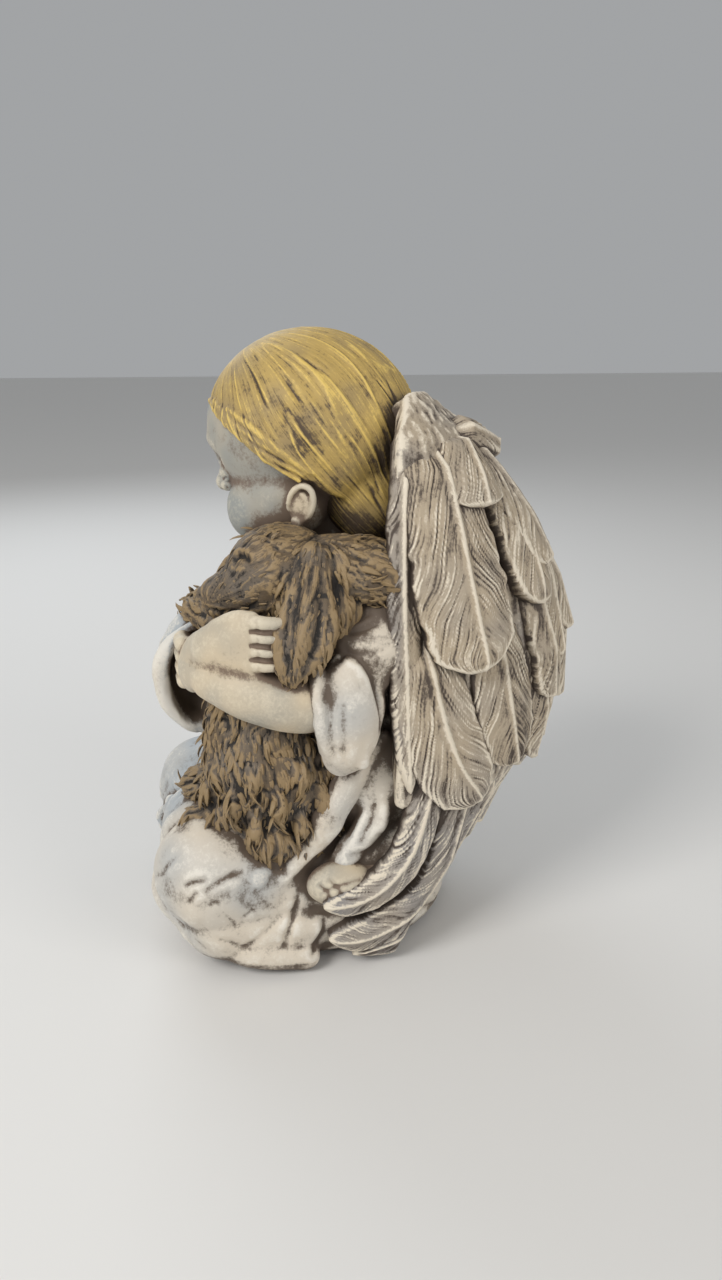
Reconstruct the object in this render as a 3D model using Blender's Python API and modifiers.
"""A small painted figurine, cast in one piece: a child angel kneels and hugs a puppy, its wings folded round its back.

Metres, +Z up. The figure faces -Y, its left side is at +X, and it stands on Z = 0.
The free form is given in shares of the figure's own height: SHARES of them make the whole height, so one share
is about a millimetre. The block is built up from balls, limbs, wing plates and feathers, as a sculptor lays on
clay, and then the clay is fused, smoothed, thinned to few faces and cut flat below.
"""

import math
from collections import namedtuple

import bmesh
import bpy
import numpy as np
from mathutils import Euler, Matrix, Vector

HEIGHT = 0.200
SHARES = 200.60
SHARE = HEIGHT / SHARES

NODE_NAME = "angel_with_puppy"
CLAY_GRAIN = 1.1  # edge of a voxel when the clay is fused, in shares
CLAY_SMOOTHING = 3
FACES = 9750  # faces of the finished solid, before the base is cut flat
STAND_SHIFT = (0.17, 2.5, 0.0)  # moves the figure so that the origin is under the middle of its box

# The head is turned to the figure's right and set a little forward of the shoulders.
HEAD_CENTRE = Vector((-3.0, -16.0, 168.0))
HEAD_TURN = math.radians(-25.0)

# The outer skin of the folded wings, as half a plan ellipse at each height: depth to the back, and width.
WING_AXIS_Y = 3.0
WING_HEIGHTS = (4, 20, 35, 50, 62, 80, 100, 120, 140, 155, 168, 176, 182)
WING_DEEP = (4, 19, 36, 46, 57, 63.5, 64.5, 59, 49, 39, 28.5, 19, 9)
WING_WIDE = (47, 48.5, 49, 48, 47, 46.5, 46.5, 45, 42.5, 39, 34, 29, 24)
WING_INNER = (9, 9, 8, 6, 4, 3, 3, 3, 4, 7, 11, 15, 18)
WING_FRONT = (90, 90, 90, 90, 90, 90, 90, 90, 90, 90, 88, 78, 60)  # where the front edge is, in degrees
WING_LOW, WING_TOP = 56, 179
WING_PLATE = 8.0

Ball = namedtuple("Ball", "centre radii turn", defaults=((0, 0, 0),))
Limb = namedtuple("Limb", "points radii")
Feather = namedtuple("Feather", "points widths layer")


def mirrored(forms):
    """The same balls and limbs on the figure's other side."""
    found = []
    for form in forms:
        if isinstance(form, Ball):
            x, y, z = form.centre
            a, b, c = form.turn
            found.append(Ball((-x, y, z), form.radii, (a, -b, -c)))
        else:
            found.append(Limb([(-x, y, z) for x, y, z in form.points], form.radii))
    return found


def on_head(left, front, up):
    """A place given from the middle of the head, along its own left, front and up."""
    left_way = Vector((math.cos(HEAD_TURN), math.sin(HEAD_TURN), 0))
    front_way = Vector((math.sin(HEAD_TURN), -math.cos(HEAD_TURN), 0))
    return HEAD_CENTRE + left_way * left + front_way * front + Vector((0, 0, up))


def head_ball(left, front, up, radii):
    """A ball on the head, with its radii along the head's left, front and up."""
    return Ball(on_head(left, front, up), radii, (0, 0, HEAD_TURN))


# The robe: the body, the folded legs under the cloth, the sleeves and the main folds


def robe_forms():
    legs = [
        Limb([(22, 6, 32), (27, -26, 25), (31, -53, 31)], [23, 18, 20]),
        Limb([(33, -50, 17), (35, -30, 14), (33, -14, 14)], [16, 13, 11]),
        Ball((26, 0, 60), (16, 17, 26)),
    ]
    body = [
        Ball((0, 0, 88), (31, 20, 36)),
        Ball((0, 2, 111), (34, 17, 15)),
        Ball((0, 8, 34), (42, 28, 31)),
        Ball((0, -28, 24), (26, 36, 22)),
        Ball((0, -16, 5), (42, 46, 9)),
        Ball((0, 16, 14), (30, 14, 17)),
        Ball((0, 22, 80), (30, 24, 58)),
        Limb([(0, 20, 168), (0, 30, 156), (0, 47, 128), (0, 56, 95), (0, 49, 62), (0, 26, 38)], [8] * 6),
        Ball((0, -52, 25), (28, 19, 21)),
        Ball((-8, -28, 50), (28, 24, 20)),
    ]
    filled = [
        Ball((-11, -31, 92), (24, 21, 32)),
        Ball((0, 20, 134), (29, 20, 27)),
    ]
    left_sleeve = [
        Limb([(31, 2, 113), (37, -4, 106), (40, -11, 96)], [13, 12, 10.5]),
        Ball((45.8, -11.5, 89.5), (7.6, 10.5, 21.5), (-0.12, 0, 0)),
        Limb([(46, -21.5, 105), (50.5, -21.4, 94), (48.8, -19, 82), (46, -15.5, 71)], [2, 2.9, 2.8, 2.2]),
    ]
    right_sleeve = [
        Limb([(-31, 0, 112), (-40, -20, 100), (-33, -44, 92), (-14, -55, 89)], [13, 14, 14.5, 15]),
        Ball((-2, -59, 90), (12, 12, 20)),
        Limb([(6, -57, 109), (8, -68, 100), (8, -70, 88), (7, -63, 74), (6, -52, 70)], [2, 2.8, 3, 2.8, 2]),
    ]
    return legs + mirrored(legs) + body + filled + left_sleeve + right_sleeve + fold_forms()


def fold_forms():
    """The folds of the robe that stand out, as thin limbs half sunk in the cloth."""
    side = [
        Limb([(38, 1, 78), (39, -9, 66), (40, -21, 47), (42, -37, 30), (44, -50, 20)], [2, 5, 5.5, 5, 3]),
        Limb([(38, 4, 62), (40, -3, 50), (43, -14, 38)], [2, 5, 4]),
        Limb([(38, -30, 42), (44, -42, 35), (45, -54, 28)], [2, 5, 3]),
        Limb([(43, -46, 24), (44, -30, 17), (42, -16, 16)], [3, 5, 4]),
        Limb([(34, -60, 11), (43, -44, 8), (45, -26, 5)], [4, 6, 5]),
        Limb([(14, -68, 34), (24, -70, 22), (36, -62, 13)], [3, 5, 4]),
    ]
    lap = [
        Limb([(4, -56, 44), (5, -66, 32), (2, -62, 10)], [3, 6, 6]),
        Limb([(-10, -54, 46), (-9, -66, 30), (-12, -62, 10)], [3, 6, 6]),
        Limb([(-4, -44, 52), (-22, -40, 54), (-38, -26, 50)], [4, 6, 3]),
    ]
    sleeves = [
        Limb([(47, -12, 107), (50, -9, 92), (48.5, -8.5, 74)], [2, 3.2, 2.6]),
        Limb([(30, -14, 118), (40, -12, 112), (46, -12, 102)], [3, 4, 2]),
        Limb([(34, 2, 120), (42, -1, 111), (46, -1, 98)], [3, 4.2, 2]),
        Limb([(-42, -24, 106), (-43, -42, 98), (-30, -58, 92)], [3, 4.5, 3]),
        Limb([(-46, -18, 94), (-44, -42, 84), (-24, -62, 77)], [3, 4.5, 3]),
    ]
    return side + mirrored(side) + lap + sleeves


# The bare skin: head, ears, neck, arms, hands and feet


def skin_forms():
    head = [
        head_ball(0, 1.5, 1.5, (27, 32.5, 28.5)),
        head_ball(0, 6, -17, (22.5, 19.5, 17)),
        head_ball(12, 13.3, -23.5, (11, 11, 11.5)),
        head_ball(-12, 13.3, -23.5, (11, 11, 11.5)),
        head_ball(0, 19.5, -29.5, (7.5, 7.5, 6)),
        Limb([on_head(0, 29, -9), on_head(0, 30.5, -14), on_head(0, 30.5, -18)], [2.2, 2.4, 3.1]),
        head_ball(0, 28, -18.5, (4.6, 3, 2.4)),
        head_ball(0, 25.5, -23.5, (5, 3.4, 1.8)),
        head_ball(0, 24.5, -26, (4, 3.2, 1.8)),
        Limb([(-1, -4, 116), on_head(0, -4, -24)], [14, 12]),
    ]
    ears = [head_ball(side * 26.5, -5, -19.5, (3.3, 4.9, 6.6)) for side in (1, -1)]
    jaw = [head_ball(side * 13, 4, -20, (11.5, 14, 13)) for side in (1, -1)]
    right_arm = [
        Limb([(-10, -52, 92), (10, -52.5, 97), (24, -52, 103), (35, -49, 109)], [9, 9, 8.5, 7]),
        Limb([(36, -50, 114), (42, -44, 120), (46, -39.5, 121)], [4, 3.4, 2.4]),
    ]
    fingers = []
    for z in (117.8, 113.5, 109.2, 104.9):
        fingers.append(Limb([(34, -51, 108.8), (41, -45.5, 0.45 * z + 60), (46, -40, z)], [6.5, 4.6, 2.8]))
        fingers.append(Limb([(46, -40, z), (48.2, -36.5, z + 0.3), (46.5, -31, z - 0.3)], [2.5, 2.3, 2.0]))
    left_arm = [
        Limb([(37, -10, 92), (42.5, -25, 92), (42, -40, 96), (34, -51, 99)], [8, 10, 9, 7.4]),
        Ball((24, -57, 99), (9.5, 5, 8)),
    ]
    left_fingers = [
        Limb([(17, -60, z), (11, -60.5, z), (6, -59, z - 0.5)], [2.7, 2.5, 2.2])
        for z in (104.5, 100.3, 96.1, 92.2)
    ]
    foot = [
        Ball((45.5, -15, 31), (6, 10.5, 7.5)),
        Ball((42, -3, 29), (7, 8, 7)),
    ]
    return head + ears + jaw + right_arm + fingers + left_arm + left_fingers + foot + mirrored(foot)


# The hair: a thick cap open at the face, with locks that run from the brow over the head to the nape

HAIR_RADII = (30.5, 33.6, 30.2)
HAIR_CENTRE = (0, -0.4, 0)
HAIR_THICKNESS = 6.0
HAIR_LOCKS = 26
HAIR_LOCK_RADIUS = 2.5


def bare_of_hair(front, up):
    """Whether a place on the side of the head is face, cheek or ear, and not hair."""
    below_fringe = up < 0.63 * front - 8.2
    before_ear = front > -10 and up < -12
    below_nape = up < -31
    return below_fringe or before_ear or below_nape


def hair_cap(clay):
    """The cap is an open shell: a ball without the faces over the face, thickened inwards."""
    cap = bmesh.new()
    bmesh.ops.create_uvsphere(cap, u_segments=56, v_segments=40, radius=1.0)
    for point in cap.verts:
        point.co = Vector(c * r for c, r in zip(point.co, HAIR_RADII))
        point.co += Vector((HAIR_CENTRE[0], -HAIR_CENTRE[1], HAIR_CENTRE[2]))
    open_faces = [f for f in cap.faces if bare_of_hair(-f.calc_center_median().y, f.calc_center_median().z)]
    bmesh.ops.delete(cap, geom=open_faces, context="FACES")
    bmesh.ops.solidify(cap, geom=list(cap.faces), thickness=HAIR_THICKNESS)
    cap.transform(Matrix.Translation(HEAD_CENTRE) @ Matrix.Rotation(HEAD_TURN, 4, "Z"))
    add_to_clay(clay, cap)


def hair_forms():
    """Locks along the meridians of a ball whose poles are over the brow and under the nape."""
    nape_hair = [Ball(on_head(0, -17, -17), (21, 15, 17)), Ball((8, 1, 147), (17, 13, 14))]
    brow = Vector((0, 0.60, 0.80))
    across = Vector((1, 0, 0))
    third = brow.cross(across)
    locks = []
    for i in range(HAIR_LOCKS):
        turn = 2 * math.pi * (i + 0.35 * math.sin(2.3 * i)) / HAIR_LOCKS
        side = across * math.cos(turn) + third * math.sin(turn)
        places = []
        for step in range(9):
            angle = math.radians(14 + 17.5 * step)
            way = brow * math.cos(angle) + side * math.sin(angle)
            place = Vector(w * r for w, r in zip(way, (HAIR_RADII[0], HAIR_RADII[1], HAIR_RADII[2])))
            if bare_of_hair(place.y + HAIR_CENTRE[1], place.z - 2):
                break
            places.append(on_head(place.x, place.y + HAIR_CENTRE[1], place.z))
        if len(places) > 3:
            locks.append(Limb(places, [HAIR_LOCK_RADIUS * 0.5] + [HAIR_LOCK_RADIUS] * (len(places) - 1)))
    return nape_hair + locks


# The puppy, held upright against the left shoulder

RUMP = (25, -36, 60)
RUMP_RADII = (20, 21, 23.5)


def puppy_forms():
    body = [
        Ball(RUMP, RUMP_RADII),
        Limb([(24, -36, 66), (22, -35, 86), (23, -30, 104), (25, -24, 120)], [20, 18, 15, 13]),
        Ball((41, -38, 43), (6, 8.5, 6)),
        Limb([(8, -48, 52), (0, -58, 48)], [9, 6]),
        Limb([(30, -46, 48), (26, -58, 46)], [9, 6]),
    ]
    head = [
        Ball((26, -29, 128), (16, 17, 15.5)),
        Limb([(26, -37, 125), (23, -47.5, 121)], [11, 7]),
        Ball((21, -53.8, 121.5), (3.2, 2.4, 2.4)),
        Ball((38, -15, 120), (7, 8, 14)),
        Ball((4, -41, 120), (4, 5.5, 10.5), (0.3, 0, 0)),
    ]
    legs = [
        Limb([(28, -20, 127), (34, -8, 130), (36, 2, 128), (36, 9, 124)], [13, 11, 10, 8]),
        Limb([(16, -44, 108), (6, -50, 110), (0, -54, 110)], [9, 7, 6.5]),
    ]
    return body + head + legs + ear_forms() + tuft_forms()


def ear_forms():
    """The near ear, a flat drop that hangs beside the head: three thin limbs side by side."""
    return [
        Limb([(36, -24, 137), (43, -27, 126), (48.3, -31, 113), (50, -30.5, 103)], [3, 3.2, 3, 2]),
        Limb([(38, -21, 137), (45, -23, 125), (49.8, -26, 113), (50, -29, 101)], [3.5, 3.6, 3.6, 1.5]),
        Limb([(38, -18, 136), (44.5, -18, 124), (49.5, -20.5, 111), (49.5, -27, 103)], [3, 3.4, 3.2, 2]),
    ]


def tuft_forms():
    """Tufts of fur on the rump and back, in staggered rings, each a short limb that tapers downwards."""
    tufts = []
    centre, radii = Vector(RUMP), RUMP_RADII
    for ring, height in enumerate((0.75, 0.4, 0.05, -0.3, -0.6)):
        across = math.sqrt(1 - height * height)
        for i in range(9):
            turn = 2 * math.pi * (i + 0.5 * (ring % 2)) / 9
            out = Vector((across * math.cos(turn), across * math.sin(turn), height))
            start = centre + Vector(o * r for o, r in zip(out, radii))
            end = start + Vector((1.5 * math.cos(turn), 1.5 * math.sin(turn), -8.5))
            tufts.append(Limb([start - out, (start + end) / 2 + out * 0.4, end - out], [2.8, 3.0, 1.4]))
    return tufts


# The wings: a bowed plate on each side of the back, with rows of overlapping feathers


def wing_size(table, height):
    return float(np.interp(height, WING_HEIGHTS, table))


def wing_place(side, height, angle):
    """A place on the wing's outer skin. Angle 0 looks straight back, and a right angle looks sideways."""
    wide, deep = wing_size(WING_WIDE, height), wing_size(WING_DEEP, height)
    return Vector((side * wide * math.sin(angle), WING_AXIS_Y + deep * math.cos(angle), height))


def on_wing(place):
    """The place moved level onto the left wing's outer skin, and the way that the skin faces there."""

    def moved(p):
        wide, deep = wing_size(WING_WIDE, p.z), wing_size(WING_DEEP, p.z)
        if p.y <= WING_AXIS_Y:
            return Vector((wide, p.y, p.z))
        along = math.hypot(p.x / wide, (p.y - WING_AXIS_Y) / deep)
        return Vector((p.x / along, WING_AXIS_Y + (p.y - WING_AXIS_Y) / along, p.z))

    step = 2.0
    middle = moved(place)
    level = Vector((middle.x, max(middle.y - WING_AXIS_Y, 0), 0)).normalized()
    sideways = Vector((-level.y, level.x, 0))
    rise = moved(middle + Vector((0, 0, step))) - moved(middle - Vector((0, 0, step)))
    turned = moved(middle + sideways * step) - moved(middle - sideways * step)
    out = turned.cross(rise).normalized()
    return middle, out if out.dot(level) > 0 else -out


def from_side(y, z):
    """A place on the left wing, seen from the figure's left: how far back and how high."""
    wide, deep = wing_size(WING_WIDE, z), wing_size(WING_DEEP, z)
    back = min(max(y - WING_AXIS_Y, 0) / deep, 0.995)
    return Vector((wide * math.sqrt(1 - back * back), y, z))


def from_back(x, z):
    """A place on the left wing, seen from behind: how far from the middle and how high."""
    wide, deep = wing_size(WING_WIDE, z), wing_size(WING_DEEP, z)
    out = min(x / wide, 0.995)
    return Vector((x, WING_AXIS_Y + deep * math.sqrt(1 - out * out), z))


def feathers():
    """The feathers of the left wing. The last pair is how far root and tip are over the wing's skin."""
    side_rows = [
        Feather([(17, 72), (8.5, 45), (0, 33), (-10, 27.5), (-21, 27)], (5.5, 5.8, 5.6, 5.6, 4), (0.5, 3.4)),
        Feather([(29, 70), (21, 37), (13, 24), (1, 16), (-9, 12.5), (-19, 13)], (7, 7.5, 7.5, 7.5, 7, 5), (-0.8, 1.2)),
        Feather([(41, 68), (33, 37), (20, 20), (5, 9.5), (-11, 4.5)], (7, 8, 7.5, 6.5, 4), (-1.8, -0.8)),
        Feather([(53, 68), (43, 42), (28, 23), (10, 9)], (7, 8, 7, 4), (-2.4, -1.8)),
        Feather([(10, 112), (14, 91), (20, 71), (28, 57)], (9, 12, 12.5, 10), (1.0, 5.0)),
        Feather([(33, 116), (37, 98), (40, 80), (42, 65)], (9, 11.5, 11.5, 9), (0.5, 3.8)),
        Feather([(52, 108), (55, 88), (56, 67)], (8, 9, 7), (0.0, 2.4)),
        Feather([(14, 168), (18.5, 144), (22.5, 121), (27, 101)], (9, 13, 15, 12.5), (2.4, 7.2)),
        Feather([(34, 162), (41, 146), (46, 130), (49, 116)], (8, 11.5, 11.5, 8), (1.6, 5.6)),
        Feather([(46, 150), (55, 124), (58, 97)], (8, 9, 6), (1.0, 4.4)),
        Feather([(22, 168), (25, 158.5), (27, 147)], (7, 11, 10), (3.4, 6.4)),
        Feather([(23, 168.5), (30, 165), (37, 160)], (4.5, 5.5, 4.5), (4.8, 6.6)),
    ]
    back_rows = [
        Feather([(24, 62), (33, 42), (39, 26)], (8, 8, 5), (-2.4, -1.6)),
        Feather([(10, 70), (20, 54), (30, 40)], (8, 8, 5), (-2.0, 0.0)),
        Feather([(8, 92), (10, 72), (14, 54)], (7, 8, 6), (-0.6, 2.2)),
        Feather([(22, 96), (23, 78), (25, 62)], (8, 9, 7), (0.0, 3.2)),
        Feather([(11, 118), (11, 98), (11, 78)], (8, 9, 7), (0.6, 3.8)),
        Feather([(27, 124), (27, 104), (27, 84)], (8, 9, 7), (1.2, 4.8)),
        Feather([(12, 146), (14, 122), (15, 102)], (8, 10, 7), (2.0, 5.4)),
        Feather([(22, 166), (21, 146), (21, 126)], (8, 10, 8), (3.0, 6.4)),
    ]
    made = [Feather([from_side(*p) for p in f.points], f.widths, f.layer) for f in side_rows]
    return made + [Feather([from_back(*p) for p in f.points], f.widths, f.layer) for f in back_rows]


def smooth_path(points, steps):
    """Places along a smooth curve through the points, evenly in number between them, and how far along each is."""
    points = [Vector(p) for p in points]
    ends = [points[0] * 2 - points[1]] + points + [points[-1] * 2 - points[-2]]
    places = []
    for i in range(1, len(ends) - 2):
        a, b, c, d = ends[i - 1 : i + 3]
        for s in range(steps):
            t = s / steps
            places.append(
                (b * 2 + (c - a) * t + (a * 2 - b * 5 + c * 4 - d) * t**2 + (b * 3 - a - c * 3 + d) * t**3) / 2
            )
    places.append(points[-1])
    return places, [i / (len(places) - 1) for i in range(len(places))]


FEATHER_ACROSS = (-1.0, -0.6, 0.0, 0.6, 1.0)
FEATHER_CROWN = (-0.6, 0.6, 1.6, 0.6, -0.6)  # how far the top stands over the layer, across the vane
FEATHER_DEPTH = 5.0
ROOT_SINK = 4.0  # how far a feather's root dips under the ones above it
ROOT_SHARE = 0.14
SHOULDER_SWELL = 3.0  # how far the smooth top of the wing stands over the plate


def feather_plate(clay, feather, side):
    """One feather as a closed plate that follows the wing's skin: loft of sections with a ridge along the shaft."""
    places, along = smooth_path(feather.points, 5)
    plate = bmesh.new()
    rings = []
    for i, (place, share) in enumerate(zip(places, along)):
        ahead = places[min(i + 1, len(places) - 1)] - places[max(i - 1, 0)]
        middle, out = on_wing(place)
        across = ahead.cross(out).normalized()
        knots = [k / (len(feather.widths) - 1) for k in range(len(feather.widths))]
        rounding = min(1.0, 0.12 + 1.15 * math.sqrt(max(0.0, (1 - share) / 0.16)))
        width = float(np.interp(share, knots, feather.widths)) * rounding
        layer = feather.layer[0] + (feather.layer[1] - feather.layer[0]) * share
        layer -= ROOT_SINK * max(0.0, 1 - share / ROOT_SHARE)
        top, below = [], []
        for v, crown in zip(FEATHER_ACROSS, FEATHER_CROWN):
            edge, edge_out = on_wing(middle + across * width * v)
            top.append(edge + edge_out * (layer + crown))
            below.append(edge + edge_out * (layer - FEATHER_DEPTH))
        ring = [Vector((side * p.x, p.y, p.z)) for p in top + below[::-1]]
        rings.append([plate.verts.new(p) for p in ring])
    for first, second in zip(rings, rings[1:]):
        for k in range(len(first)):
            n = (k + 1) % len(first)
            plate.faces.new((first[k], first[n], second[n], second[k]))
    plate.faces.new(rings[0])
    plate.faces.new(rings[-1])
    bmesh.ops.recalc_face_normals(plate, faces=plate.faces)
    add_to_clay(clay, plate)


def wing_plate(clay, side):
    """The bowed plate that carries the feathers, an open skin thickened inwards."""
    rows, columns = 26, 16
    plate = bmesh.new()
    grid = []
    for r in range(rows + 1):
        height = WING_LOW + (WING_TOP - WING_LOW) * r / rows
        inner = math.asin(wing_size(WING_INNER, height) / wing_size(WING_WIDE, height))
        front = math.radians(wing_size(WING_FRONT, height))
        angles = [inner + (front - inner) * c / columns for c in range(columns + 1)]
        row = []
        for angle in angles:
            place, out = on_wing(wing_place(1, height, angle))
            place += out * SHOULDER_SWELL * min(1.0, max(0.0, (height - 150) / 15))
            row.append(plate.verts.new((side * place.x, place.y, place.z)))
        grid.append(row)
    for low, high in zip(grid, grid[1:]):
        for c in range(columns):
            plate.faces.new((low[c], low[c + 1], high[c + 1], high[c]))
    bmesh.ops.recalc_face_normals(plate, faces=plate.faces)
    outwards = sum((f.normal.dot(f.calc_center_median() - Vector((0, 0, 100))) for f in plate.faces))
    if outwards < 0:
        bmesh.ops.reverse_faces(plate, faces=plate.faces)
    bmesh.ops.solidify(plate, geom=list(plate.faces), thickness=WING_PLATE)
    add_to_clay(clay, plate)


# Laying on clay


def add_to_clay(clay, shape):
    """Lays a closed shape with the others, as its points and faces."""
    shape.verts.index_update()
    clay.append(([tuple(v.co) for v in shape.verts], [[v.index for v in f.verts] for f in shape.faces]))
    shape.free()


def add_ball(clay, ball):
    shape = bmesh.new()
    place = Matrix.LocRotScale(Vector(ball.centre), Euler(ball.turn), Vector(ball.radii))
    bmesh.ops.create_uvsphere(shape, u_segments=28, v_segments=18, radius=1.0, matrix=place)
    add_to_clay(clay, shape)


def add_limb(clay, limb):
    """A tapering round limb: a bevelled curve through the points, with a ball on each end."""
    curve = bpy.data.curves.new("limb", "CURVE")
    curve.dimensions = "3D"
    curve.bevel_depth = 1.0
    curve.bevel_resolution = 4
    curve.use_fill_caps = True
    spline = curve.splines.new("BEZIER")
    spline.resolution_u = 6
    spline.bezier_points.add(len(limb.points) - 1)
    for knot, place, radius in zip(spline.bezier_points, limb.points, limb.radii):
        knot.co = place
        knot.radius = radius
        knot.handle_left_type = knot.handle_right_type = "AUTO"
    holder = bpy.data.objects.new("limb", curve)
    bpy.context.scene.collection.objects.link(holder)
    bpy.context.view_layer.update()
    made = bpy.data.meshes.new_from_object(holder.evaluated_get(bpy.context.evaluated_depsgraph_get()))
    tube = bmesh.new()
    tube.from_mesh(made)
    bmesh.ops.remove_doubles(tube, verts=tube.verts, dist=0.0001)
    add_to_clay(clay, tube)
    bpy.data.objects.remove(holder)
    bpy.data.curves.remove(curve)
    bpy.data.meshes.remove(made)
    for place, radius in ((limb.points[0], limb.radii[0]), (limb.points[-1], limb.radii[-1])):
        add_ball(clay, Ball(place, (radius, radius, radius)))


def evaluated_mesh(holder):
    bpy.context.view_layer.update()
    return bpy.data.meshes.new_from_object(holder.evaluated_get(bpy.context.evaluated_depsgraph_get()))


def clay_mesh(name, clay):
    """One mesh of all the shapes laid together, in metres and moved to where the figure stands."""
    points, faces = [], []
    for shape_points, shape_faces in clay:
        first = len(points)
        points.extend(shape_points)
        faces.extend([first + i for i in face] for face in shape_faces)
    mesh = bpy.data.meshes.new(name)
    mesh.from_pydata([(Vector(p) + Vector(STAND_SHIFT)) * SHARE for p in points], [], faces)
    return mesh


def lay_clay():
    """All the shapes of the figure, overlapping, in shares."""
    clay = []
    for form in robe_forms() + skin_forms() + hair_forms() + puppy_forms():
        if isinstance(form, Ball):
            add_ball(clay, form)
        else:
            add_limb(clay, form)
    hair_cap(clay)
    for side in (1, -1):
        wing_plate(clay, side)
        for feather in feathers():
            feather_plate(clay, feather, side)
    return clay


def helper_object(name, mesh, helpers):
    holder = bpy.data.objects.new(name, mesh)
    holder.hide_render = True
    holder.display_type = "WIRE"
    helpers.objects.link(holder)
    return holder


def painted_resin():
    material = bpy.data.materials.new("painted_resin")
    material.use_nodes = True
    shader = material.node_tree.nodes["Principled BSDF"]
    shader.inputs["Base Color"].default_value = (0.42, 0.36, 0.28, 1)
    shader.inputs["Roughness"].default_value = 0.6
    shader.inputs["Metallic"].default_value = 0.0
    return material


def make_figure(figure_parts, helpers):
    """Fuses the clay, smooths it, thins it and cuts the base flat."""
    figure = bpy.data.objects.new(NODE_NAME, clay_mesh(NODE_NAME, lay_clay()))
    figure_parts.objects.link(figure)
    fuse = figure.modifiers.new("fuse", "REMESH")
    fuse.mode = "VOXEL"
    fuse.voxel_size = CLAY_GRAIN * SHARE
    smooth = figure.modifiers.new("smooth", "SMOOTH")
    smooth.factor = 0.5
    smooth.iterations = CLAY_SMOOTHING
    fused = evaluated_mesh(figure)
    figure.modifiers.clear()
    figure.data = fused

    thin = figure.modifiers.new("thin", "DECIMATE")
    thin.ratio = FACES / sum(len(p.vertices) - 2 for p in fused.polygons)

    table = bmesh.new()
    bmesh.ops.create_cube(table, size=1.0, matrix=Matrix.Translation((0, 0, -0.5)))
    bmesh.ops.scale(table, vec=(2 * HEIGHT, 2 * HEIGHT, HEIGHT), verts=table.verts)
    table_mesh = bpy.data.meshes.new("table")
    table.to_mesh(table_mesh)
    table.free()

    cut = figure.modifiers.new("base", "BOOLEAN")
    cut.operation = "DIFFERENCE"
    cut.object = helper_object("table", table_mesh, helpers)
    figure.data.materials.append(painted_resin())
    return figure


def main():
    for old in list(bpy.data.objects):
        bpy.data.objects.remove(old)
    figure_parts = bpy.data.collections.new("child_angel_figurine")
    helpers = bpy.data.collections.new("helpers")
    for collection in (figure_parts, helpers):
        bpy.context.scene.collection.children.link(collection)
    make_figure(figure_parts, helpers)


main()
